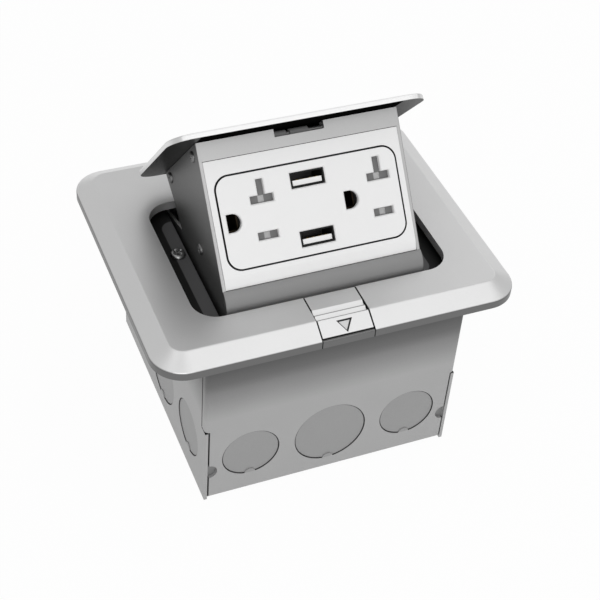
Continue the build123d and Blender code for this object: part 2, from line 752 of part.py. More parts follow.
def blade_contacts(side):
    """Spring contacts behind one row of slots, with tails to the terminals."""
    with BuildPart() as contacts:
        for a in outlet_a:
            for offset in (-1.35, 1.35):
                with BuildSketch(face_plane.offset(-5.4)):
                    with Locations((a, side * slot_b + offset)):
                        Rectangle(6.0, 0.6)
                extrude(amount=chamber_n + 5.4)
            with BuildSketch(face_plane.offset(chamber_n + 0.7)):
                with Locations((a, side * (slot_b - 1.65 + body_d / 2 + 0.8) / 2)):
                    Rectangle(6.0, body_d / 2 + 0.8 - slot_b + 1.65)
            extrude(amount=-0.7)
            with BuildSketch(face_plane.offset(chamber_n)):
                with Locations((a, side * (body_d / 2 + 0.4))):
                    Rectangle(6.0, 0.8)
            extrude(amount=9.5)
        with BuildSketch(Plane(origin=face_at, x_dir=(1, 0, 0), z_dir=face_up)):
            with Locations(*[(a, terminal_n) for a in outlet_a]):
                Circle(1.5)
        extrude(amount=side * (body_d / 2 + 3), mode=Mode.SUBTRACT)
        for a in outlet_a:
            with BuildSketch(face_plane.offset(-13.6)):
                with Locations((a, side * slot_b - 1.35), (a, side * slot_b + 1.35)):
                    Rectangle(6.0, 0.6)
            extrude(amount=-4.8)
    return contacts.part


def terminal_screws(side):
    """Binding screws on one long side of the housing."""
    seat = Plane(origin=face_at, x_dir=(1, 0, 0), z_dir=face_up)
    places = [(a, terminal_n) for a in outlet_a]
    with BuildPart() as screws:
        with BuildSketch(seat.offset(side * (body_d / 2 + 0.8))):
            with Locations(*places):
                Circle(2.9)
        extrude(amount=side * 1.8)
        with BuildSketch(seat.offset(side * (body_d / 2 + 0.8))):
            with Locations(*places):
                Circle(1.4)
        extrude(amount=-side * 4.8)
        with BuildSketch(seat.offset(side * (body_d / 2 + 2.6))):
            with Locations(*places):
                Rectangle(4.6, 0.8)
        extrude(amount=-side * 0.8, mode=Mode.SUBTRACT)
    return screws.part


save(blade_contacts(1), "neutral_contacts")
save(blade_contacts(-1), "hot_contacts")
save(terminal_screws(1), "neutral_screws")
save(terminal_screws(-1), "hot_screws")

# Earth contacts behind the D holes, with tails that meet the strap.
with BuildPart() as ground_contacts:
    for a in outlet_a:
        with BuildSketch(face_plane.offset(-5.4)):
            with Locations((a - ground_off, 0)):
                Rectangle(6.6, 6.6)
                Rectangle(5.6, 5.6, mode=Mode.SUBTRACT)
        extrude(amount=chamber_n + 5.4)
        with BuildSketch(face_plane.offset(chamber_n)):
            with Locations((a - ground_off, 0)):
                Rectangle(6.6, 6.6)
        extrude(amount=0.6)
        with BuildSketch(face_plane.offset(chamber_n)):
            with Locations((a - ground_off, 0)):
                Rectangle(5.0, 0.8)
        extrude(amount=body_back - chamber_n)
save(ground_contacts.part, "ground_contacts")

# Earth strap round the back of the housing, clamped by the side screws.
with BuildPart() as ground_strap:
    with BuildSketch(face_plane.offset(body_back)):
        with Locations((0, -5)):
            Rectangle(2 * car_in, 14)
    extrude(amount=-1.0)
    for side in (-1, 1):
        with BuildSketch(face_plane.offset(body_back - 1.0)):
            with Locations((side * (car_in - 0.5), boss_b)):
                Rectangle(1.0, 8)
        extrude(amount=-14.8 - body_back + 1.0)
    with BuildSketch(car_side(0)):
        with Locations(*side_screw_at):
            Circle(1.1)
    extrude(amount=car_in + 1, both=True, mode=Mode.SUBTRACT)
    with BuildSketch(face_plane.offset(body_back)):
        with Locations((0, boss_b)):
            Circle(1.65)
    extrude(amount=-1.0, mode=Mode.SUBTRACT)
save(ground_strap.part, "ground_strap")

with BuildPart() as strap_screw:
    with BuildSketch(face_plane.offset(body_back - 1.0)):
        with Locations((0, boss_b)):
            RegularPolygon(3.2, 6)
    extrude(amount=-2.0)
    with BuildSketch(face_plane.offset(body_back - 1.0)):
        with Locations((0, boss_b)):
            Circle(1.6)
    extrude(amount=5.5)
save(strap_screw.part, "strap_screw")

# USB ports: metal shells, white tongues and the board behind them.
usb_at = [(0, usb_b), (0, -usb_b)]
with BuildPart() as usb_shells:
    with BuildSketch(face_plane.offset(board_n)):
        with Locations(*usb_at):
            Rectangle(usb_w, usb_h)
            Rectangle(usb_w - 0.8, usb_h - 0.8, mode=Mode.SUBTRACT)
    extrude(amount=-board_n - 0.4)
save(usb_shells.part, "usb_shells")

with BuildPart() as usb_tongues:
    with BuildSketch(face_plane.offset(board_n)):
        with Locations(*usb_at):
            Rectangle(usb_w - 0.8, usb_h - 0.8)
    extrude(amount=3.0)
    with BuildSketch(face_plane.offset(board_n + 3.0)):
        with Locations((0, usb_b - 1.0), (0, -usb_b - 1.0)):
            Rectangle(usb_w - 1.6, 1.8)
    extrude(amount=-board_n - 3.0 - 0.9)
save(usb_tongues.part, "usb_tongues")

with BuildPart() as usb_board:
    with BuildSketch(face_plane.offset(board_n)):
        Rectangle(usb_w + 4.0, usb_bay - 0.2)
    extrude(amount=-board_t)
save(usb_board.part, "usb_board")


shutter_low = -slot_b - 2.0


def shutter(a):
    """Sliding shutter behind one outlet's slots, at its closed position."""
    with BuildPart() as slider:
        with BuildSketch(face_plane.offset(-face_t - 0.1)):
            with Locations((a, 8.9)):
                Rectangle(9.4, 9.0)
            with Locations((a, -6.3)):
                Rectangle(9.4, 4.0)
            with Locations((a, 0.6)):
                Rectangle(4.0, 10.0)
        extrude(amount=-1.3)
        with BuildSketch(face_plane.offset(-face_t - 0.1)):
            with Locations((a, slot_b), (a, -slot_b)):
                Circle(0.95)
        extrude(amount=-0.3, mode=Mode.SUBTRACT)
    return slider.part


save(shutter(outlet_a[0]), "shutter_left")
save(shutter(outlet_a[1]), "shutter_right")

# Latch: channel slider with two finger ramps, a sloped nose and a stem.
latch_x = latch_w / 2 - latch_gap
latch_low = channel_z + 0.05
nose_y = 0.9 - plate_d / 2
slope = (plate_h - edge_h) / bevel_w
bevel_y = -plate_d / 2 + bevel_w
latch_top = top_z - 0.05
nose_z = channel_z + (nose_y + plate_d / 2) * slope - 0.05
with BuildPart() as latch_slider:
    with BuildSketch(fixed_side(-latch_x)):
        with BuildLine():
            Polyline(
                (open_front - 0.1, latch_low), (open_front - 0.1, latch_top),
                (bevel_y + 5.2, latch_top), (bevel_y + 2.8, top_z - 1.4),
                (bevel_y + 2.8, top_z - 0.25), (bevel_y + 0.3, top_z - 1.7),
                (bevel_y + 0.3, top_z - 0.35), (bevel_y - 0.2, latch_top - 0.15), (nose_y, nose_z),
                (nose_y, latch_low), close=True,
            )
        make_face()
    extrude(amount=2 * latch_x)
    with BuildSketch(Plane.XY.offset(latch_low)):
        with Locations((0, sum(stem_y) / 2)):
            Rectangle(5.9, stem_y[1] - stem_y[0])
    extrude(amount=floor_z - 0.1 - latch_low)
    with BuildSketch(Plane.XY.offset(floor_z - 0.1)):
        with Locations((0, sum(stem_y) / 2)):
            Circle(1.05)
    extrude(amount=4.6, mode=Mode.SUBTRACT)
    nose_dir = Vector(0, -bevel_w, -(plate_h - edge_h)).normalized()
    mark = Plane(
        origin=(0, (bevel_y + nose_y) / 2, (latch_top - 0.15 + nose_z) / 2),
        x_dir=(1, 0, 0), z_dir=Vector(1, 0, 0).cross(nose_dir * -1),
    )
    with BuildSketch(mark):
        with BuildLine():
            Polyline((-2.6, 1.8), (2.6, 1.8), (0, -2.4), close=True)
        make_face()
    extrude(amount=0.5, both=True, mode=Mode.SUBTRACT)
save(latch_slider.part, "latch_slider")

keep_z = floor_z - 0.1
tab_y = open_front - 4.4
with BuildPart() as latch_retainer:
    with BuildSketch(Plane.XY.offset(keep_z)):
        with Locations((0, sum(stem_y) / 2)):
            Rectangle(latch_w - 5.6, stem_y[1] - stem_y[0])
        with Locations((0, stem_y[1] - 2)):
            Rectangle(2 * spring_x + 5, 4)
        with Locations((0, sum(stem_y) / 2)):
            Circle(1.1, mode=Mode.SUBTRACT)
    extrude(amount=-sheet)
    with BuildSketch(Plane.XY.offset(keep_z - sheet)):
        with Locations((-spring_x, tab_y), (spring_x, tab_y)):
            Rectangle(4, 1.2)
    extrude(amount=-2.4)
save(latch_retainer.part, "latch_retainer")

# Leaf catch clamped under the retainer; its tip stands in the gap in front of the skirt.
leaf_t = 0.4
leaf_z = keep_z - sheet
with BuildPart() as catch_spring:
    with BuildSketch(fixed_side(-6)):
        with BuildLine():
            tip = open_front + 1.05
            Polyline(
                (stem_y[0] + 0.3, leaf_z), (stem_y[0] + 0.3, leaf_z - leaf_t),
                (tip - 0.65, leaf_z - leaf_t), (tip, leaf_z + 0.5), (tip, leaf_z + 3.5),
                (tip - 0.15, leaf_z + 4.6), (tip - 0.55, leaf_z + 4.6), (tip - 0.4, leaf_z + 3.5),
                (tip - 0.4, leaf_z + 0.6), (tip - 0.85, leaf_z), close=True,
            )
        make_face()
    extrude(amount=12)
    with BuildSketch(Plane.XY.offset(leaf_z + 1)):
        with Locations((0, sum(stem_y) / 2)):
            Circle(1.1)
    extrude(amount=-4, mode=Mode.SUBTRACT)
save(catch_spring.part, "catch_spring")

with BuildPart() as latch_screw:
    with BuildSketch(Plane.XY.offset(leaf_z - leaf_t)):
        with Locations((0, sum(stem_y) / 2)):
            Circle(2.1)
    extrude(amount=-1.2)
    with BuildSketch(Plane.XY.offset(leaf_z - leaf_t)):
        with Locations((0, sum(stem_y) / 2)):
            Circle(1.0)
    extrude(amount=5.6)
    with BuildSketch(Plane.XY.offset(leaf_z - leaf_t - 1.2)):
        with Locations((0, sum(stem_y) / 2)):
            Rectangle(2.4, 0.5)
            Rectangle(0.5, 2.4)
    extrude(amount=0.6, mode=Mode.SUBTRACT)
save(latch_screw.part, "latch_screw")


def coil(start, direction, length, radius, wire, turns):
    """Closed-end helical spring from a point along a direction."""
    axis = Vector(*direction)
    flat = Plane(origin=start, x_dir=axis.cross(Vector(1, 0, 0.3)).normalized(), z_dir=axis)
    path = flat.location * Helix(length / turns, length, radius)
    begin = Plane(origin=path @ 0, z_dir=path % 0)
    with BuildPart() as spring:
        with BuildSketch(begin):
            RegularPolygon(wire / 2, 4)
        sweep(path=path, is_frenet=True)
    return spring.part


# Return springs of the latch and the shutters.
gap_y = (-in_y + 1.4, tab_y - 0.6)
latch_coils = [
    coil((x, gap_y[0] + 0.2, floor_z - 2.75), (0, 1, 0), gap_y[1] - gap_y[0] - 0.4, 1.05, 0.36, 4)
    for x in (-spring_x, spring_x)
]
save(Compound(children=latch_coils), "latch_springs")

# Zigzag leaf springs that pull the shutters back over the slots.
zig = 0.62
with BuildPart() as shutter_springs:
    for a in outlet_a:
        with BuildSketch(face_plane.offset(-face_t - 0.3)):
            with BuildLine():
                low = shutter_low - 3.9
                rise = [(a - 1.5, low), (a + 1.5, low + zig), (a - 1.5, low + 2 * zig),
                        (a + 1.5, low + 3 * zig), (a - 1.5, low + 4 * zig), (a + 1.5, low + 5 * zig),
                        (a + 1.5, low + 3.8)]
                Polyline(*rise)
                Polyline(*[(p[0] + 0.3, p[1]) for p in rise])
                Line(rise[0], (rise[0][0] + 0.3, rise[0][1]))
                Line(rise[-1], (rise[-1][0] + 0.3, rise[-1][1]))
            make_face()
        extrude(amount=-0.8)
save(shutter_springs.part, "shutter_springs")
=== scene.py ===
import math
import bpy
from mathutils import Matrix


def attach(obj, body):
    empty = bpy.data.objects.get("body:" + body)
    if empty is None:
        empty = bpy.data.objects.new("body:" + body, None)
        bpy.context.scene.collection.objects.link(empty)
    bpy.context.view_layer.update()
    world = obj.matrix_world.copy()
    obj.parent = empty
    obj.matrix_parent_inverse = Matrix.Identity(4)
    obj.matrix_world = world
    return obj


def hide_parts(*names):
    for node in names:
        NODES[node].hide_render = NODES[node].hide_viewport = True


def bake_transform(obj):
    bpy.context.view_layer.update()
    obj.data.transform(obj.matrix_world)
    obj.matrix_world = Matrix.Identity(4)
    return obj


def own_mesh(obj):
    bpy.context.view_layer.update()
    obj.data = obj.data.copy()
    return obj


bl_info = {
    "name": "Floor Socket Box",
    "version": (1, 0, 0),
    "blender": (4, 5, 0),
    "location": "View3D > Sidebar > Floor Box",
    "description": "Finishes, springs, screws and small fittings of a pop-up floor socket box",
    "category": "Object",
}

from collections import namedtuple

import bmesh
import bpy
import numpy as np
from mathutils import Matrix, Vector

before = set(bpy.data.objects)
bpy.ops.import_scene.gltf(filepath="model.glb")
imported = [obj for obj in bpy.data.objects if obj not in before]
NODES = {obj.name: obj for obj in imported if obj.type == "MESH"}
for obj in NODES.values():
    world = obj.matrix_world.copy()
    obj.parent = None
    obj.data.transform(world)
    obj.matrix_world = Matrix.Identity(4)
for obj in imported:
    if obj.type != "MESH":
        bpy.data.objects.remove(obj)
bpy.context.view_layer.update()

MM = 0.001
SIDES = (-1.0, 1.0)
SIDE = np.array([1.0, 0.0, 0.0])
FORWARD = np.array([0.0, 1.0, 0.0])
HIGH = np.array([0.0, 0.0, 1.0])

# The hinge, and the directions of the open lid and of the socket face, which leans back from it.
HINGE = np.array([0.0, 39.2, 69.8]) * MM
OPEN_ANGLE = math.radians(48.0)
LEAN = math.radians(10.35)
BACK = np.array([0.0, math.cos(OPEN_ANGLE), -math.sin(OPEN_ANGLE)])
UP = np.array([0.0, math.sin(OPEN_ANGLE), math.cos(OPEN_ANGLE)])
FACE_UP = BACK * -math.sin(LEAN) + UP * math.cos(LEAN)
FACE_OUT = BACK * -math.cos(LEAN) - UP * math.sin(LEAN)

# The cover plate, its opening, the black ring of painted shadow inside the opening's outline and the ledge
# with its ears.
PLATE_HALF = (68.0 * MM, 56.9 * MM)
PLATE_CORNER = 12.0 * MM
PLATE_EDGE_TOP = 76.1 * MM
OPENING_HALF = (48.0 * MM, 32.1 * MM)
OPENING_CORNER = 9.0 * MM
OPENING_AT = (0.0, -5.9 * MM, 0.0)
SHADOW_RING_W = 4.6 * MM
LEDGE_Z = 74.5 * MM
EAR = np.array([42.2, 2.7]) * MM

# The latch, its channel in the plate and the triangle on its sloping nose.
CHANNEL_HALF = 9.82 * MM
CHANNEL_BACK = -38.2 * MM
LATCH_HALF = 9.45 * MM
LATCH_FRONT = -55.8 * MM
NOSE_AT = np.array([0.0, -53.05, 78.16]) * MM
NOSE_SLOPE = math.radians(30.15)
NOSE_UP = np.array([0.0, math.cos(NOSE_SLOPE), math.sin(NOSE_SLOPE)])
MARK_HALF = 2.6 * MM
MARK_TOP = 1.8 * MM
MARK_TIP = -2.4 * MM

# The lid, and the carriage below it. The screws are places back and up from the hinge.
LID_UNDER = 7.95 * MM
LID_FRONT = -75.6 * MM
CAR_X = 37.4 * MM
STRIP_TOP = 28.9 * MM
FACE_H = LID_UNDER - 0.15 * MM - STRIP_TOP * math.cos(LEAN)
FACE_AT = HINGE + BACK * -63.3 * MM + UP * FACE_H
SKIRT_TOP = -22.4 * MM
LID_SCREWS = ((-25.4 * MM, 4.6 * MM), (-61.5 * MM, 4.6 * MM))
BODY_SCREWS = ((-43.4 * MM, -25.1 * MM),)

# The socket face: half its width and height, its corners, and where its openings lie.
FACE_HALF = (33.35 * MM, 16.05 * MM)
FACE_CORNER = 4.9 * MM
HOLE_HALF = (33.95 * MM, 16.65 * MM)
HOLE_CORNER = 5.4 * MM
OUTLETS = (-17.56 * MM, 26.11 * MM)
SLOT_B = 6.35 * MM
USB_B = 10.3 * MM
PAD_ROW = (-3.5 * MM, -1.2 * MM, 1.2 * MM, 3.5 * MM)
PAD_DEPTH = -4.6 * MM

# The back box: its knockouts as centre and radius, and the seams of its folded sheets.
KNOCK_Z = 20.3 * MM
KNOCKOUTS = ((-31.4 * MM, 11.1 * MM), (0.0, 14.1 * MM), (31.4 * MM, 11.1 * MM))
TAB_R = 2.15 * MM
LOW_X = 47.6 * MM
WRAP_Y = 46.8 * MM
STEP_Z = 36.6 * MM

# The hinge springs: middle and half width along the pin, and their ends as y and z from the hinge, the
# bar's with the lid shut. The latch springs: place across, back and front ends, and height.
SPRING_X = 27.0 * MM
SPRING_HALF = 1.75 * MM
SPRING_FOOT = np.array([7.6, 2.7]) * MM
SPRING_BAR_SHUT = np.array([-21.0, -17.2]) * MM
LATCH_SPRING_X = 10.5 * MM
LATCH_SPRING_Y = (-47.7 * MM, -43.2 * MM)
LATCH_SPRING_Z = 70.25 * MM

# The photo's camera, fitted to the plate's and the box's edges.
CAMERA_AT = (-0.16077, -0.36018, 0.40681)
CAMERA_RIGHT = (0.927501, -0.368742, 0.061407)
CAMERA_AHEAD = (0.309981, 0.666846, -0.677664)
FOCAL_PIXELS = 1392.05
PHOTO_PIXELS = 600.0
SENSOR_MM = 36.0

# Soft boxes: name, place and width in metres, and power in watts. All face the plate's middle.
SOFTBOXES = (
    ("top softbox", (-0.05, -0.1, 0.9), 0.7, 0.15),
    ("front softbox", (0.42, -0.5, 1.0), 0.8, 1.3),
    ("corner softbox", (-0.42, 0.0, 1.12), 0.25, 0.28),
    ("back softbox", (0.75, 0.66, 0.66), 0.45, 0.35),
    ("left front softbox", (-0.4, -1.0, 0.65), 0.8, 4.2),
)
LIT_PLACE = (0.0, 0.0, 0.07)


# Surfaces.

def grid_faces(rows, columns, first):
    """Quads of a grid whose last column meets its first."""
    i, j = np.meshgrid(np.arange(rows - 1), np.arange(columns), indexing="ij")
    k = (j + 1) % columns
    quads = np.stack([i * columns + j, i * columns + k, (i + 1) * columns + k, (i + 1) * columns + j], -1)
    return quads.reshape(-1, 4) + first


def piece(name, grids, material, body):
    """One mesh from closed grids of points, with its ends merged and its faces turned outwards. It
    rides a body, or none."""
    points, quads, first = [], [], 0
    for grid in grids:
        rows, columns = grid.shape[:2]
        points.append(grid.reshape(-1, 3))
        quads.append(grid_faces(rows, columns, first))
        first += rows * columns
    mesh = bpy.data.meshes.new(name)
    mesh.from_pydata(np.concatenate(points).tolist(), [], np.concatenate(quads).tolist())
    work = bmesh.new()
    work.from_mesh(mesh)
    bmesh.ops.remove_doubles(work, verts=work.verts, dist=1e-7)
    bmesh.ops.recalc_face_normals(work, faces=work.faces)
    work.to_mesh(mesh)
    work.free()
    mesh.polygons.foreach_set("use_smooth", [True] * len(mesh.polygons))
    mesh.materials.append(material)
    obj = bpy.data.objects.new(name, mesh)
    bpy.context.scene.collection.objects.link(obj)
    if body:
        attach(obj, body)
    return obj


def rounded_ends(path, radius):
    """A path with half-round caps: the centre moves on by r sin t while the radius falls as r cos t."""
    t = np.linspace(0.0, np.pi / 2, 5)[1:]
    start = path[0] - path[1]
    end = path[-1] - path[-2]
    start, end = start / np.linalg.norm(start), end / np.linalg.norm(end)
    before = path[0] + start * (radius * np.sin(t[::-1]))[:, None]
    after = path[-1] + end * (radius * np.sin(t))[:, None]
    radii = np.concatenate([radius * np.cos(t[::-1]), np.full(len(path), radius), radius * np.cos(t)])
    return np.concatenate([before, path, after]), radii


def wire(path, radius, across, sides):
    """Round wire along a path. Each ring lies square to the path, one axis of it square to across."""
    path, radii = rounded_ends(path, radius)
    ahead = np.gradient(path, axis=0)
    ahead /= np.linalg.norm(ahead, axis=1, keepdims=True)
    one = across - (ahead @ across)[:, None] * ahead
    one /= np.linalg.norm(one, axis=1, keepdims=True)
    other = np.cross(ahead, one)
    turn = np.linspace(0.0, 2 * np.pi, sides, endpoint=False)
    ring = np.cos(turn)[None, :, None] * one[:, None] + np.sin(turn)[None, :, None] * other[:, None]
    return path[:, None] + radii[:, None, None] * ring


def cross_recess(u, v, length, width, depth):
    """Depth of a cross slot: full where a point is inside either arm, shallower towards its tips."""
    edge = 0.08 * MM

    def inside(a, limit):
        return np.clip((limit - np.abs(a)) / edge + 0.5, 0.0, 1.0)

    arms = np.maximum(inside(u, width) * inside(v, length), inside(v, width) * inside(u, length))
    reach = np.maximum(np.abs(u), np.abs(v)) / length
    return depth * arms * (1.0 - 0.55 * np.clip(reach, 0.0, 1.0))


def pan_screw(centre, axis, first, head, shank, pitch):
    """Pan head, height h (1 - (r/R)^4)^(1/2) less the cross recess, over a shank whose radius rises
    and falls once a turn of its thread, ending in a short cone. First is a direction in its plane."""
    radius, height = head
    thin, length = shank
    around = np.linspace(0.0, 2 * np.pi, 56, endpoint=False)
    even = np.ones(len(around))
    rim = 1.0 - (1.0 - np.linspace(0.9, 1.0, 7)[1:]) ** 1.3
    out = np.clip(np.concatenate([np.linspace(0.0, 0.9, 26), rim]), 0.0, 1.0)
    r = out[:, None] * radius * even
    top = height * np.sqrt(np.clip(1.0 - (r / radius) ** 4, 0.0, 1.0))
    top -= cross_recess(r * np.cos(around), r * np.sin(around), radius * 0.62, radius * 0.13, height * 0.75)
    down = np.linspace(0.0, length, int(length / pitch * 6) + 2)[:, None]
    phase = (down / pitch - around / (2 * np.pi)) % 1.0
    fade = np.clip(down / pitch, 0.0, 1.0)
    shaft = thin * (1.0 - 0.14 * fade * (1.0 - np.abs(2.0 * phase - 1.0)))
    tip_r = np.array([0.55, 0.0])[:, None] * thin * even
    tip_z = np.array([length + 0.35 * MM, length + 0.4 * MM])[:, None] * even
    r = np.concatenate([r, shaft, tip_r])
    w = np.concatenate([top, -down * even, -tip_z])
    u, v = r * np.cos(around), r * np.sin(around)
    return centre + u[..., None] * first + v[..., None] * np.cross(axis, first) + w[..., None] * axis


def round_block(centre, axes, half):
    """Block with soft edges: a sphere's grid raised to a power that squares it, scaled by half sizes."""
    lift = np.linspace(-np.pi / 2, np.pi / 2, 13)[:, None]
    around = np.linspace(0.0, 2 * np.pi, 32, endpoint=False)[None]

    def squared(value):
        return np.sign(value) * np.abs(value) ** 0.12

    u = squared(np.cos(lift)) * squared(np.cos(around))
    v = squared(np.cos(lift)) * squared(np.sin(around))
    w = squared(np.sin(lift)) * np.ones_like(around)
    return centre + sum(a[..., None] * axis * size for a, axis, size in zip((u, v, w), axes, half))


def hinge_spring_path(side, coil):
    """Three turns round the hinge: the angle falls and the place along the pin rises, both evenly. Two
    straight legs leave the coil along its tangents, one to the ledge and one to the carriage's bar."""
    shut_y, shut_z = SPRING_BAR_SHUT
    bar = np.array([shut_y * math.cos(OPEN_ANGLE) + shut_z * math.sin(OPEN_ANGLE),
                    shut_z * math.cos(OPEN_ANGLE) - shut_y * math.sin(OPEN_ANGLE)])
    leave = [math.atan2(leg[1], leg[0]) + way * math.acos(coil / math.hypot(*leg))
             for leg, way in ((SPRING_FOOT, -1), (bar, 1))]
    sweep = leave[0] - leave[1] + 2 * math.pi * 3
    start, end = SPRING_X - SPRING_HALF, SPRING_X + SPRING_HALF
    angle = np.linspace(leave[0], leave[0] - sweep, 180)
    turns = np.stack([np.linspace(start, end, 180), coil * np.cos(angle), coil * np.sin(angle)], 1)
    foot_leg = np.linspace([start, *SPRING_FOOT], turns[0], 8)[:-1]
    bar_leg = np.linspace(turns[-1], [end, *bar], 14)[1:]
    return HINGE + np.concatenate([foot_leg, turns, bar_leg]) * (side, 1.0, 1.0)


def latch_spring_path(x, coil):
    """Six turns along y, closer together in the first and the last turn."""
    wound = np.linspace(0.0, 1.0, 200)
    angle = wound * 2 * np.pi * 6
    back, front = LATCH_SPRING_Y
    y = back + (front - back) * np.interp(wound, (0.0, 0.17, 0.83, 1.0), (0.0, 0.08, 0.92, 1.0))
    return np.stack([x + coil * np.cos(angle), y, LATCH_SPRING_Z + coil * np.sin(angle)], 1)


# Materials. A mask is a function that adds its nodes to a tree and gives a value from 0 to 1.

Area = namedtuple("Area", "mask colour metallic gloss", defaults=(None, None))


def grey(value):
    """An even grey."""
    return (value, value, value)


def share(colour, part):
    """A colour made darker."""
    return tuple(channel * part for channel in colour)


def node_tree(name):
    """A new material with its shader linked to its output."""
    material = bpy.data.materials.new(name)
    material.use_nodes = True
    tree = material.node_tree
    tree.nodes.clear()
    shader = tree.nodes.new("ShaderNodeBsdfPrincipled")
    output = tree.nodes.new("ShaderNodeOutputMaterial")
    tree.links.new(shader.outputs["BSDF"], output.inputs["Surface"])
    return material, tree, shader, output


def feed(tree, socket, value):
    """Links a socket to another, or gives it a number or a plain colour."""
    if hasattr(value, "links"):
        tree.links.new(value, socket)
    elif isinstance(value, (int, float)):
        socket.default_value = value
    else:
        socket.default_value = (*value, 1.0)


def maths(tree, operation, one, other=0.0):
    """One maths node; each side is a socket or a number."""
    node = tree.nodes.new("ShaderNodeMath")
    node.operation = operation
    feed(tree, node.inputs[0], one)
    feed(tree, node.inputs[1], other)
    return node.outputs[0]


def mixed(tree, factor, one, other, way="MIX"):
    """Two colours mixed or multiplied by a factor; each is a socket or a plain colour."""
    node = tree.nodes.new("ShaderNodeMix")
    node.data_type = "RGBA"
    node.blend_type = way
    feed(tree, node.inputs["Factor"], factor)
    feed(tree, node.inputs["A"], one)
    feed(tree, node.inputs["B"], other)
    return node.outputs["Result"]


def between(tree, factor, one, other):
    """A number that goes from one to other with a factor."""
    rest = maths(tree, "MULTIPLY", maths(tree, "SUBTRACT", 1.0, factor), one)
    return maths(tree, "ADD", rest, maths(tree, "MULTIPLY", factor, other))


def object_coords(tree, scale=(1.0, 1.0, 1.0)):
    """Object coordinates, stretched by scale."""
    coord = tree.nodes.new("ShaderNodeTexCoord")
    mapping = tree.nodes.new("ShaderNodeMapping")
    mapping.inputs["Scale"].default_value = scale
    tree.links.new(coord.outputs["Object"], mapping.inputs["Vector"])
    return mapping.outputs["Vector"]


def noise(tree, vector, scale, detail, rough):
    """Noise of a scale, in cycles per metre, as a value from 0 to 1."""
    texture = tree.nodes.new("ShaderNodeTexNoise")
    texture.inputs["Scale"].default_value = scale
    texture.inputs["Detail"].default_value = detail
    texture.inputs["Roughness"].default_value = rough
    tree.links.new(vector, texture.inputs["Vector"])
    return texture.outputs["Fac"]


def spread(tree, value, low, high):
    """A value from 0 to 1 mapped to low..high."""
    node = tree.nodes.new("ShaderNodeMapRange")
    node.inputs["To Min"].default_value = low
    node.inputs["To Max"].default_value = high
    tree.links.new(value, node.inputs["Value"])
    return node.outputs["Result"]


def bump(tree, shader, height, distance):
    """Relief of a height value, distance metres deep."""
    node = tree.nodes.new("ShaderNodeBump")
    node.inputs["Distance"].default_value = distance
    node.inputs["Strength"].default_value = 1.0
    tree.links.new(height, node.inputs["Height"])
    tree.links.new(node.outputs["Normal"], shader.inputs["Normal"])


def along(tree, direction, origin=(0.0, 0.0, 0.0)):
    """How far a point lies along a direction from an origin, in metres."""
    coord = tree.nodes.new("ShaderNodeTexCoord")
    shift = tree.nodes.new("ShaderNodeVectorMath")
    shift.operation = "SUBTRACT"
    shift.inputs[1].default_value = tuple(origin)
    dot = tree.nodes.new("ShaderNodeVectorMath")
    dot.operation = "DOT_PRODUCT"
    dot.inputs[1].default_value = tuple(direction)
    tree.links.new(coord.outputs["Object"], shift.inputs[0])
    tree.links.new(shift.outputs["Vector"], dot.inputs[0])
    return dot.outputs["Value"]


def size_of(tree, direction, origin=(0.0, 0.0, 0.0)):
    """How far a point lies along a direction, to either side."""
    return maths(tree, "ABSOLUTE", along(tree, direction, origin))


def beyond(tree, value, limit, soft=0.1 * MM):
    """0 below a limit and 1 above it, over a soft width."""
    node = tree.nodes.new("ShaderNodeMapRange")
    node.inputs["From Min"].default_value = limit - soft / 2
    node.inputs["From Max"].default_value = limit + soft / 2
    tree.links.new(value, node.inputs["Value"])
    return node.outputs["Result"]


def below(tree, value, limit, soft=0.1 * MM):
    """1 below a limit and 0 above it, over a soft width."""
    return maths(tree, "SUBTRACT", 1.0, beyond(tree, value, limit, soft))


def within(tree, value, centre, half, soft=0.1 * MM):
    """1 inside centre plus or minus half, 0 outside."""
    return below(tree, maths(tree, "ABSOLUTE", maths(tree, "SUBTRACT", value, centre)), half, soft)


def both(tree, one, other):
    """Where two masks overlap, or two numbers multiplied."""
    return maths(tree, "MULTIPLY", one, other)


def either(tree, *masks):
    """Where any of the masks is."""
    found = 0.0
    for mask in masks:
        found = maths(tree, "MAXIMUM", found, mask)
    return found


def rounded(tree, across, height, half, radius):
    """Distance from the core of a rounded rectangle: its corner radius on the outline, less inside."""
    squares = []
    for value, size in ((across, half[0]), (height, half[1])):
        over = maths(tree, "SUBTRACT", maths(tree, "ABSOLUTE", value), size - radius)
        over = maths(tree, "MAXIMUM", over, 0.0)
        squares.append(maths(tree, "MULTIPLY", over, over))
    return maths(tree, "SQRT", maths(tree, "ADD", *squares))


def metal(name, colour, rough, grain=(1.0, 1.0, 1.0), grain_scale=2600.0, metallic=1.0, areas=()):
    """Sheet or cast metal: grain stretched one way, soft patches and a fine relief. Each of areas is a
    mask, the colour under it and, where given, how metallic and how glossy it is there."""
    material, tree, shader, _ = node_tree(name)
    base, gloss = tuple(colour), 0.5
    for area in areas:
        factor = area.mask(tree)
        base = mixed(tree, factor, base, area.colour)
        if area.metallic is not None:
            metallic = between(tree, factor, metallic, area.metallic)
        if area.gloss is not None:
            gloss = between(tree, factor, gloss, area.gloss)
    feed(tree, shader.inputs["Metallic"], metallic)
    feed(tree, shader.inputs["Specular IOR Level"], gloss)
    fine = noise(tree, object_coords(tree, grain), grain_scale, 4.0, 0.6)
    soft = noise(tree, object_coords(tree), 45.0, 2.0, 0.5)
    patches = mixed(tree, soft, grey(0.95), grey(1.05))
    streak = mixed(tree, spread(tree, fine, 0.0, 0.5), patches, grey(0.88))
    feed(tree, shader.inputs["Base Color"], mixed(tree, 1.0, base, streak, "MULTIPLY"))
    feed(tree, shader.inputs["Roughness"], spread(tree, fine, rough - 0.06, rough + 0.08))
    bump(tree, shader, fine, 0.006 * MM)
    return material


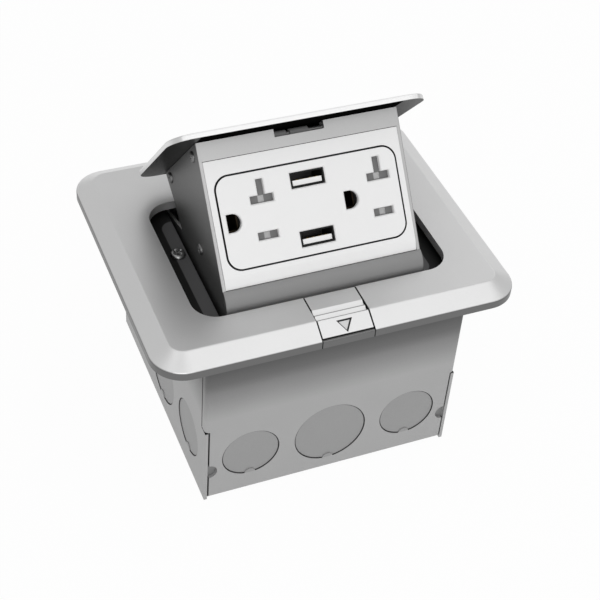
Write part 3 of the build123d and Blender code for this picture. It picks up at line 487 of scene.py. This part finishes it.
def plastic(name, colour, rough, areas=()):
    """Moulded plastic: an even colour with a faint cloud and a fine spark-eroded skin."""
    material, tree, shader, _ = node_tree(name)
    base = tuple(colour)
    for area in areas:
        base = mixed(tree, area.mask(tree), base, area.colour)
    soft = noise(tree, object_coords(tree), 60.0, 2.0, 0.5)
    fine = noise(tree, object_coords(tree), 3500.0, 2.0, 0.5)
    cloud = mixed(tree, soft, grey(0.98), grey(1.0))
    feed(tree, shader.inputs["Base Color"], mixed(tree, 1.0, base, cloud, "MULTIPLY"))
    feed(tree, shader.inputs["Roughness"], spread(tree, fine, rough - 0.05, rough + 0.06))
    bump(tree, shader, fine, 0.008 * MM)
    return material


def paint(material, *names):
    """Assigns a material to whole CAD nodes."""
    for name in names:
        slots = NODES[name].material_slots
        for slot in slots:
            slot.material = material
        if not slots:
            NODES[name].data.materials.append(material)


# Finishes of the cover plate, the latch and the lid.

SATIN_GRAIN = (1.0, 14.0, 14.0)
SATIN_SCALE = 900.0
# Painted shade: near black put on the walls of narrow gaps, where shade falls.
GAP_SHADE_BLACK = grey(0.01)


def plate_finish(colour):
    """Satin metal with painted shade: darker on its upright edge, and black on the sides of the latch's
    channel in the narrow gap there.
    """
    # Painted shade: the upright edge is darkened for the dim light on that side.
    def upright_edge_shade(tree):
        out = rounded(tree, along(tree, SIDE), along(tree, FORWARD), PLATE_HALF, PLATE_CORNER)
        rim = beyond(tree, out, PLATE_CORNER - 1.4 * MM)
        return both(tree, rim, below(tree, along(tree, HIGH), PLATE_EDGE_TOP, 0.3 * MM))

    # Painted shade: black on the channel's sides, where the narrow gap beside the latch lies.
    def channel_side(tree):
        front = below(tree, along(tree, FORWARD), CHANNEL_BACK)
        return both(tree, front, within(tree, size_of(tree, SIDE), CHANNEL_HALF, 0.2 * MM, 0.05 * MM))

    return metal("satin cover metal", colour, 0.38, SATIN_GRAIN, SATIN_SCALE, 0.82,
                 (Area(upright_edge_shade, grey(0.16)), Area(channel_side, GAP_SHADE_BLACK)))


def latch_finish(colour):
    """Satin like the plate's, with painted shade: black sides and nose in the gaps round it, two dark lines
    at the rib steps and a triangle with a dark outline.
    """
    # Painted shade: the latch's sides and nose front are black, where the gaps round it lie.
    def sides(tree):
        nose = below(tree, along(tree, FORWARD), LATCH_FRONT)
        return either(tree, nose, beyond(tree, size_of(tree, SIDE), LATCH_HALF, 0.05 * MM))

    def triangle(tree, margin):
        """Inside all edges: below the top edge and above the slanted one, widened by a margin."""
        slant = math.hypot(MARK_HALF, MARK_TOP - MARK_TIP)
        steep, flat = (MARK_TOP - MARK_TIP) / slant, MARK_HALF / slant
        u, v = size_of(tree, SIDE), along(tree, NOSE_UP, NOSE_AT)
        over_top = maths(tree, "SUBTRACT", v, MARK_TOP)
        height = maths(tree, "MULTIPLY", maths(tree, "SUBTRACT", v, MARK_TIP), flat)
        over_slant = maths(tree, "SUBTRACT", maths(tree, "MULTIPLY", u, steep), height)
        return below(tree, maths(tree, "MAXIMUM", over_top, over_slant), margin)

    # Painted shade: two dark lines where the rib steps fall.
    def rib_step_shade(tree):
        forward = along(tree, FORWARD)
        return either(tree, within(tree, forward, -47.42 * MM, 0.16 * MM, 0.1 * MM),
                      within(tree, forward, -49.85 * MM, 0.2 * MM, 0.2 * MM))

    return metal("satin latch metal", colour, 0.38, SATIN_GRAIN, SATIN_SCALE, 0.82,
                 (Area(rib_step_shade, grey(0.3)), Area(sides, GAP_SHADE_BLACK),
                  # Painted shade: the triangle's dark outline stands for the shade at its engraved edge.
                  Area(lambda tree: triangle(tree, 0.22 * MM), grey(0.04)),
                  Area(lambda tree: triangle(tree, -0.3 * MM), grey(0.7), 0.3)))


def lid_finish(colour):
    """Satin like the plate's, with a painted highlight on its front edge, painted shade below and a matt
    black painted shadow over the strip, in the gap between lid and strip.
    """
    # Painted shade: the lid's underside is made dark.
    def under(tree):
        return below(tree, along(tree, UP, HINGE), LID_UNDER + 0.06 * MM)

    # Painted shadow: matt black over the strip, in the gap between the lid and the strip.
    def strip_gap_shadow(tree):
        return both(tree, under(tree), below(tree, size_of(tree, SIDE), CAR_X, 1.0 * MM))

    # Painted highlight: the front edge is pale and less metallic, for the light it catches.
    def front(tree):
        return below(tree, along(tree, BACK, HINGE), LID_FRONT, 0.4 * MM)

    return metal("satin lid metal", colour, 0.42, SATIN_GRAIN, SATIN_SCALE,
                 areas=(Area(front, grey(0.95), 0.2), Area(under, grey(0.032), 0.6),
                        Area(strip_gap_shadow, grey(0.003), 0.0, 0.0)))


# Finishes of the back box.

SHEET_SCALE = 1800.0


def wall_finish(name, direction, seam, colour, more=()):
    """Zinc sheet of walls that run along a direction, with knockouts that each hang on a tab, painted shade
    in the grooves round them and along the seams, and painted shade below the plate's overhang."""
    def distance(tree, centre, height):
        across = maths(tree, "SUBTRACT", along(tree, direction), centre)
        up = maths(tree, "SUBTRACT", along(tree, HIGH), height)
        squares = maths(tree, "ADD", both(tree, across, across), both(tree, up, up))
        return maths(tree, "SQRT", squares)

    def discs(tree):
        return either(tree, *[below(tree, distance(tree, centre, KNOCK_Z), radius - 0.2 * MM)
                              for centre, radius in KNOCKOUTS])

    # Painted shade: dark rings in the grooves round the knockouts.
    def groove_shade(tree):
        found = []
        for centre, radius in KNOCKOUTS:
            ring = within(tree, distance(tree, centre, KNOCK_Z), radius - 0.16 * MM, 0.2 * MM)
            clear_of_tab = beyond(tree, distance(tree, centre, KNOCK_Z - radius), TAB_R)
            found.append(both(tree, ring, clear_of_tab))
        return either(tree, *found)

    def overhang(tree):
        return beyond(tree, along(tree, HIGH), 51.0 * MM, 18.0 * MM)

    def under_plate(tree):
        return beyond(tree, along(tree, HIGH), 62.0 * MM, 12.0 * MM)

    # Painted shade: the grooves, the two bands below the plate's overhang and the seams are darkened where
    # shade falls.
    areas = (Area(discs, share(colour, 0.8)), Area(groove_shade, share(colour, 0.25)),
             Area(overhang, share(colour, 0.42)), Area(under_plate, share(colour, 0.2)),
             *more, Area(seam, grey(0.008)))
    return metal(f"zinc sheet of the {name} walls", colour, 0.5, grain_scale=SHEET_SCALE, metallic=0.35,
                 areas=areas)


def front_seam(tree):
    """Dark lines of painted shade on the shell: the sides of its low part, and the ends and lower edges of
    its flanges.
    """
    across, forward, height = size_of(tree, SIDE), size_of(tree, FORWARD), along(tree, HIGH)
    low = both(tree, beyond(tree, across, LOW_X - 0.18 * MM), below(tree, height, STEP_Z))
    flange = beyond(tree, across, LOW_X + 0.6 * MM)
    end = both(tree, flange, below(tree, forward, WRAP_Y + 0.14 * MM))
    foot = both(tree, flange, below(tree, height, STEP_Z + 0.12 * MM))
    return either(tree, low, end, foot)


def side_seam(tree):
    """Dark lines of painted shade on the side walls: the upright edges of the upper part, and the step
    below it.
    """
    forward, height = size_of(tree, FORWARD), along(tree, HIGH)
    end = both(tree, beyond(tree, forward, WRAP_Y - 0.58 * MM), within(tree, height, 53.4 * MM, 17.0 * MM))
    step = both(tree, beyond(tree, forward, WRAP_Y - 0.4 * MM),
                within(tree, height, STEP_Z - 0.45 * MM, 0.12 * MM, 0.05 * MM))
    return either(tree, end, step)


def side_flange_shade(tree):
    """The side walls' flanges, which turn inwards at the corners, darkened as painted shade where they lie
    behind the front wall.
    """
    return below(tree, size_of(tree, SIDE), LOW_X + 0.2 * MM)


# Finishes of the carriage, the dark frame round it and the socket face.

def carriage_finish(colour):
    """Sheet metal, with painted shade on the skirt, which is darker and duller there, and dark on the
    outsides of the side plates.
    """
    # Painted shade: the skirt is darker and duller, for the shade where it dips into the well.
    def skirt(tree):
        return below(tree, along(tree, FACE_UP, FACE_AT), SKIRT_TOP)

    def side_plate(tree):
        return beyond(tree, size_of(tree, SIDE), CAR_X - 0.12 * MM)

    return metal("carriage metal", colour, 0.45,
                 areas=(Area(skirt, share(colour, 0.45), 0.3), Area(side_plate, grey(0.2), 1.0)))


def inner_frame_finish():
    """Dark coat, with a black ring of painted shadow beside the opening's wall, where the wall's shade
    falls on the ledge.
    """
    # Painted shadow: a black ring on the ledge, beside the opening's wall.
    def shadow_ring(tree):
        forward = along(tree, FORWARD, OPENING_AT)
        out = rounded(tree, along(tree, SIDE), forward, OPENING_HALF, OPENING_CORNER)
        return beyond(tree, out, OPENING_CORNER - SHADOW_RING_W, 0.3 * MM)

    return metal("dark coated metal", (0.115, 0.115, 0.117), 0.5, metallic=0.3,
                 areas=(Area(shadow_ring, grey(0.006)),))


def face_outline(tree, half, corner):
    """Distance from the core of a rounded rectangle round the socket face's middle."""
    return rounded(tree, along(tree, SIDE), along(tree, FACE_UP, FACE_AT), half, corner)


def face_rim(tree):
    """The outer side of the face, which is one side of the gap round it and is painted black there as
    painted shade.
    """
    return beyond(tree, face_outline(tree, FACE_HALF, FACE_CORNER), FACE_CORNER - 0.03 * MM, 0.02 * MM)


def frame_hole(tree):
    """The inner side of the frame, which is the gap's other side and is painted black there as painted
    shade.
    """
    return below(tree, face_outline(tree, HOLE_HALF, HOLE_CORNER), HOLE_CORNER + 0.03 * MM, 0.02 * MM)


def port_depth_shade(tree):
    """What lies more than 3 mm behind the face, where the tongue is painted dark as painted shade inside
    the port.
    """
    return below(tree, along(tree, FACE_OUT, FACE_AT), -3.0 * MM, 0.6 * MM)


def shutter_finish(name, outlet, colour):
    """Grey plastic with a pale spot in the middle of each slot of its outlet."""
    def spot(tree):
        across = within(tree, along(tree, SIDE), outlet, 1.05 * MM, 0.3 * MM)
        return both(tree, across, within(tree, size_of(tree, FACE_UP, FACE_AT), SLOT_B, 1.1 * MM, 0.3 * MM))

    return plastic(f"grey {name} plastic", colour, 0.5, (Area(spot, grey(0.5)),))


# Stage.

def shown_white(tree):
    """1 for what the camera sees straight, in metal or through glass, else 0."""
    path = tree.nodes.new("ShaderNodeLightPath")
    return either(tree, path.outputs["Is Camera Ray"], path.outputs["Is Glossy Ray"],
                  path.outputs["Is Transmission Ray"])


def white_floor():
    """A wide square just below the box. It is almost white to the camera and in reflections, and keeps
    a share of its own shading there, so that the box's shadow stays."""
    half = 12.0
    mesh = bpy.data.meshes.new("floor")
    corners = [(-half, -half, 0), (half, -half, 0), (half, half, 0), (-half, half, 0)]
    mesh.from_pydata(corners, [], [(0, 1, 2, 3)])
    floor = bpy.data.objects.new("floor", mesh)
    bpy.context.scene.collection.objects.link(floor)
    floor.location = (0.0, 0.0, -0.2 * MM)
    material, tree, shader, output = node_tree("studio floor")
    shader.inputs["Base Color"].default_value = (0.85, 0.85, 0.85, 1.0)
    shader.inputs["Roughness"].default_value = 0.9
    glow = tree.nodes.new("ShaderNodeEmission")
    glow.inputs["Color"].default_value = (1.0, 1.0, 1.0, 1.0)
    blend = tree.nodes.new("ShaderNodeMixShader")
    tree.links.new(maths(tree, "MULTIPLY", shown_white(tree), 0.96), blend.inputs["Fac"])
    tree.links.new(shader.outputs["BSDF"], blend.inputs[1])
    tree.links.new(glow.outputs[0], blend.inputs[2])
    tree.links.new(blend.outputs[0], output.inputs["Surface"])
    mesh.materials.append(material)


def grey_world():
    """Even grey light from all sides."""
    world = bpy.data.worlds.new("studio")
    world.use_nodes = True
    bpy.context.scene.world = world
    tree = world.node_tree
    tree.nodes.clear()
    plain = tree.nodes.new("ShaderNodeBackground")
    plain.inputs["Color"].default_value = (0.5, 0.5, 0.5, 1.0)
    plain.inputs["Strength"].default_value = 1.2
    output = tree.nodes.new("ShaderNodeOutputWorld")
    tree.links.new(plain.outputs[0], output.inputs["Surface"])


def softbox(name, place, width, power):
    """A square area lamp that faces the plate's middle."""
    light = bpy.data.lights.new(name, "AREA")
    light.shape = "SQUARE"
    light.size = width
    light.energy = power
    lamp = bpy.data.objects.new(name, light)
    bpy.context.scene.collection.objects.link(lamp)
    lamp.location = place
    lamp.rotation_euler = (Vector(LIT_PLACE) - Vector(place)).to_track_quat("-Z", "Y").to_euler()


def photo_camera():
    """The camera at the photo's place, turned by its right and ahead directions."""
    camera = bpy.data.objects.new("camera", bpy.data.cameras.new("camera"))
    bpy.context.scene.collection.objects.link(camera)
    camera.data.sensor_width = SENSOR_MM
    camera.data.lens = FOCAL_PIXELS * SENSOR_MM / PHOTO_PIXELS
    camera.data.clip_start = 0.01
    right, ahead = Vector(CAMERA_RIGHT).normalized(), Vector(CAMERA_AHEAD).normalized()
    down = ahead.cross(right).normalized()
    turn = Matrix((right, -down, -ahead)).transposed().to_4x4()
    camera.matrix_world = Matrix.Translation(CAMERA_AT) @ turn
    bpy.context.scene.camera = camera


# Add-on.

class FloorBoxColours(bpy.types.PropertyGroup):
    cover: bpy.props.FloatVectorProperty(
        name="Cover metal", description="Satin metal of the plate, lid and latch",
        subtype="COLOR", size=3, min=0.0, max=1.0, default=(0.8, 0.8, 0.8))
    sheet: bpy.props.FloatVectorProperty(
        name="Box sheet", description="Zinc-coated sheet of the back box",
        subtype="COLOR", size=3, min=0.0, max=1.0, default=(0.42, 0.42, 0.42))
    shell: bpy.props.FloatVectorProperty(
        name="Carriage metal", description="Metal of the carriage round the sockets",
        subtype="COLOR", size=3, min=0.0, max=1.0, default=(0.58, 0.58, 0.58))
    face: bpy.props.FloatVectorProperty(
        name="Face plastic", description="White plastic of the face and its frame",
        subtype="COLOR", size=3, min=0.0, max=1.0, default=(0.86, 0.86, 0.86))
    shutter: bpy.props.FloatVectorProperty(
        name="Shutter plastic", description="Grey plastic of the shutters",
        subtype="COLOR", size=3, min=0.0, max=1.0, default=(0.17, 0.17, 0.17))


class FloorBoxSizes(bpy.types.PropertyGroup):
    ledge_head: bpy.props.FloatProperty(
        name="Ledge screw head", description="Radius of the ledge screws' heads",
        subtype="DISTANCE", unit="LENGTH", precision=5, min=2.2 * MM, max=3.2 * MM, default=2.9 * MM)
    side_head: bpy.props.FloatProperty(
        name="Side screw head", description="Radius of the heads on the side plates",
        subtype="DISTANCE", unit="LENGTH", precision=5, min=1.4 * MM, max=2.4 * MM, default=2.1 * MM)
    hinge_coil: bpy.props.FloatProperty(
        name="Hinge spring coil", description="Radius of the hinge springs' turns",
        subtype="DISTANCE", unit="LENGTH", precision=5, min=2.6 * MM, max=3.5 * MM, default=3.3 * MM)
    hinge_wire: bpy.props.FloatProperty(
        name="Hinge spring wire", description="Radius of the hinge springs' wire",
        subtype="DISTANCE", unit="LENGTH", precision=5, min=0.3 * MM, max=0.55 * MM, default=0.5 * MM)
    latch_coil: bpy.props.FloatProperty(
        name="Latch spring coil", description="Radius of the latch springs' turns",
        subtype="DISTANCE", unit="LENGTH", precision=5, min=0.8 * MM, max=1.1 * MM, default=1.05 * MM)
    latch_wire: bpy.props.FloatProperty(
        name="Latch spring wire", description="Radius of the latch springs' wire",
        subtype="DISTANCE", unit="LENGTH", precision=5, min=0.1 * MM, max=0.2 * MM, default=0.16 * MM)


class FLOORBOX_OT_metals(bpy.types.Operator):
    """Gives the metal parts their satin, zinc, dark and plated finishes"""
    bl_idname = "floorbox.metals"
    bl_label = "Finish metals"

    def execute(self, context):
        colours = context.scene.floor_box_colours
        cover, sheet = tuple(colours.cover), tuple(colours.sheet)
        paint(plate_finish(cover), "cover_plate")
        paint(latch_finish(cover), "latch_slider")
        paint(lid_finish(cover), "lid")
        paint(wall_finish("front", SIDE, front_seam, sheet), "box_shell")
        # Painted shade: the side walls' flanges are darkened behind the front wall.
        flange = (Area(side_flange_shade, share(sheet, 0.55)),)
        paint(wall_finish("side", FORWARD, side_seam, sheet, flange), "box_side_left", "box_side_right")
        paint(metal("zinc sheet", sheet, 0.5, grain_scale=SHEET_SCALE, metallic=0.6), "latch_retainer")
        paint(carriage_finish(tuple(colours.shell)), "carriage_shell")
        paint(inner_frame_finish(), "inner_frame")
        paint(metal("plated steel", grey(0.6), 0.3), "cover_screws", "mounting_nuts", "hinge_pin",
              "pin_clip", "latch_screw", "ground_strap", "neutral_screws", "shutter_springs")
        # Painted shade: the strike pin's steel is darkened for the shade in the notch under the lid.
        paint(metal("steel with painted shade", grey(0.3), 0.45), "strike_pin")
        paint(metal("blued spring steel", (0.12, 0.12, 0.13), 0.4), "catch_spring")
        # Painted shade: the port shells' steel is made near black for the shade inside the ports.
        paint(metal("port steel with painted shade", grey(0.012), 0.6, metallic=0.5), "usb_shells")
        brass = metal("contact brass", (0.72, 0.5, 0.2), 0.3)
        paint(brass, "hot_contacts", "neutral_contacts", "hot_screws")
        # Painted shade: the ground contacts' brass is darkened for the shade deep in their holes.
        paint(metal("contact brass with painted shade", (0.06, 0.045, 0.03), 0.5), "ground_contacts")
        green = metal("green earth screw", (0.03, 0.25, 0.06), 0.4, metallic=0.4)
        paint(green, "ground_screw", "strap_screw")
        return {"FINISHED"}


class FLOORBOX_OT_plastics(bpy.types.Operator):
    """Gives the moulded parts their plastics"""
    bl_idname = "floorbox.plastics"
    bl_label = "Finish plastics"

    def execute(self, context):
        colours = context.scene.floor_box_colours
        # Painted shade: both sides of the gap round the face are painted black.
        for name, gap in (("receptacle_face", face_rim), ("face_frame", frame_hole)):
            white = plastic(f"white {name} plastic", tuple(colours.face), 0.42, (Area(gap, GAP_SHADE_BLACK),))
            paint(white, name)
        # Painted shade: the white tongue is dark deep inside the port.
        tongue = plastic("white tongue plastic", grey(0.88), 0.4, (Area(port_depth_shade, grey(0.03)),))
        paint(tongue, "usb_tongues")
        for name, outlet in zip(("shutter_left", "shutter_right"), OUTLETS):
            paint(shutter_finish(name, outlet, tuple(colours.shutter)), name)
        paint(plastic("dark housing plastic", (0.03, 0.03, 0.032), 0.55), "receptacle_body")
        paint(plastic("grey bush plastic", grey(0.2), 0.5), "hinge_bushes")
        paint(plastic("grey sleeve plastic", grey(0.2), 0.6), "strike_sleeves")
        paint(plastic("circuit board", (0.02, 0.12, 0.05), 0.4), "usb_board")
        return {"FINISHED"}


class FLOORBOX_OT_screws(bpy.types.Operator):
    """Makes the cross-head screws with their threads"""
    bl_idname = "floorbox.screws"
    bl_label = "Screws"

    def execute(self, context):
        sizes = context.scene.floor_box_sizes
        zinc = metal("blackened zinc screw", grey(0.3), 0.28)
        dim = metal("dim zinc screw", grey(0.2), 0.35)
        cross = np.array([math.cos(0.5), math.sin(0.5), 0.0])
        head, shank = (sizes.ledge_head, 1.7 * MM), (1.7 * MM, 8.2 * MM)
        grids = [pan_screw(np.array([side * EAR[0], EAR[1], LEDGE_Z]), HIGH, cross, head, shank, 0.7 * MM)
                 for side in SIDES]
        made = piece("ledge_screws", grids, zinc, "base")
        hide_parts("mounting_screws")
        head = (sizes.side_head, 0.75 * MM)
        for name, node, places, length in (("lid_side_screws", "lid_screws", LID_SCREWS, 2.4 * MM),
                                           ("body_side_screws", "side_screws", BODY_SCREWS, 5.6 * MM)):
            grids = [pan_screw(HINGE + SIDE * side * CAR_X + BACK * back + UP * up, SIDE * side, UP, head,
                               (1.0 * MM, length), 0.5 * MM)
                     for side in SIDES for back, up in places]
            made = piece(name, grids, dim, "carriage")
            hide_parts(node)
        return {"FINISHED"}


class FLOORBOX_OT_springs(bpy.types.Operator):
    """Winds the hinge springs and the latch springs"""
    bl_idname = "floorbox.springs"
    bl_label = "Springs"

    def execute(self, context):
        sizes = context.scene.floor_box_sizes
        steel = metal("spring steel", grey(0.5), 0.3)
        for name, side in zip(("left", "right"), SIDES):
            path = hinge_spring_path(side, sizes.hinge_coil)
            made = piece(f"hinge_spring_{name}", [wire(path, sizes.hinge_wire, SIDE, 12)], steel, None)
            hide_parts("torsion_springs")
            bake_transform(made)
        for name, side in zip(("left", "right"), SIDES):
            x = side * LATCH_SPRING_X
            path = latch_spring_path(x, sizes.latch_coil)
            grid = wire(path, sizes.latch_wire, FORWARD, 8)
            made = piece(f"latch_spring_{name}", [grid], steel, "base")
            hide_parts("latch_springs")
            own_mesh(made)
        return {"FINISHED"}


class FLOORBOX_OT_ports(bpy.types.Operator):
    """Adds the gold contact pads on the tongues of the two ports"""
    bl_idname = "floorbox.ports"
    bl_label = "Port contacts"

    def execute(self, context):
        gold = metal("gold contact", (0.75, 0.55, 0.22), 0.25)
        half = (0.5 * MM, 3.2 * MM, 0.08 * MM)
        middle = FACE_AT + FACE_OUT * PAD_DEPTH - FACE_UP * 0.06 * MM
        pads = [round_block(middle + SIDE * a + FACE_UP * side * USB_B, (SIDE, FACE_OUT, FACE_UP), half)
                for side in SIDES for a in PAD_ROW]
        piece("port_contacts", pads, gold, "carriage")
        return {"FINISHED"}


class FLOORBOX_OT_stage(bpy.types.Operator):
    """Adds the floor, the studio lights and the camera"""
    bl_idname = "floorbox.stage"
    bl_label = "Stage"

    def execute(self, context):
        white_floor()
        grey_world()
        for row in SOFTBOXES:
            softbox(*row)
        photo_camera()
        context.scene.view_settings.view_transform = "Standard"
        return {"FINISHED"}


class FLOORBOX_PT_panel(bpy.types.Panel):
    bl_label = "Floor Socket Box"
    bl_idname = "FLOORBOX_PT_panel"
    bl_space_type = "VIEW_3D"
    bl_region_type = "UI"
    bl_category = "Floor Box"

    def draw(self, context):
        layout = self.layout
        for values, group in ((context.scene.floor_box_colours, FloorBoxColours),
                              (context.scene.floor_box_sizes, FloorBoxSizes)):
            for name in group.__annotations__:
                layout.prop(values, name)
        for operator in OPERATORS:
            layout.operator(operator.bl_idname)


OPERATORS = (FLOORBOX_OT_metals, FLOORBOX_OT_plastics, FLOORBOX_OT_screws, FLOORBOX_OT_springs,
             FLOORBOX_OT_ports, FLOORBOX_OT_stage)
CLASSES = (FloorBoxColours, FloorBoxSizes, *OPERATORS, FLOORBOX_PT_panel)


def register():
    for cls in CLASSES:
        bpy.utils.register_class(cls)
    bpy.types.Scene.floor_box_colours = bpy.props.PointerProperty(type=FloorBoxColours)
    bpy.types.Scene.floor_box_sizes = bpy.props.PointerProperty(type=FloorBoxSizes)


def unregister():
    del bpy.types.Scene.floor_box_sizes
    del bpy.types.Scene.floor_box_colours
    for cls in reversed(CLASSES):
        bpy.utils.unregister_class(cls)


def main():
    register()
    bpy.ops.floorbox.metals()
    bpy.ops.floorbox.plastics()
    bpy.ops.floorbox.screws()
    bpy.ops.floorbox.springs()
    bpy.ops.floorbox.ports()
    bpy.ops.floorbox.stage()


if __name__ == "__main__":
    main()
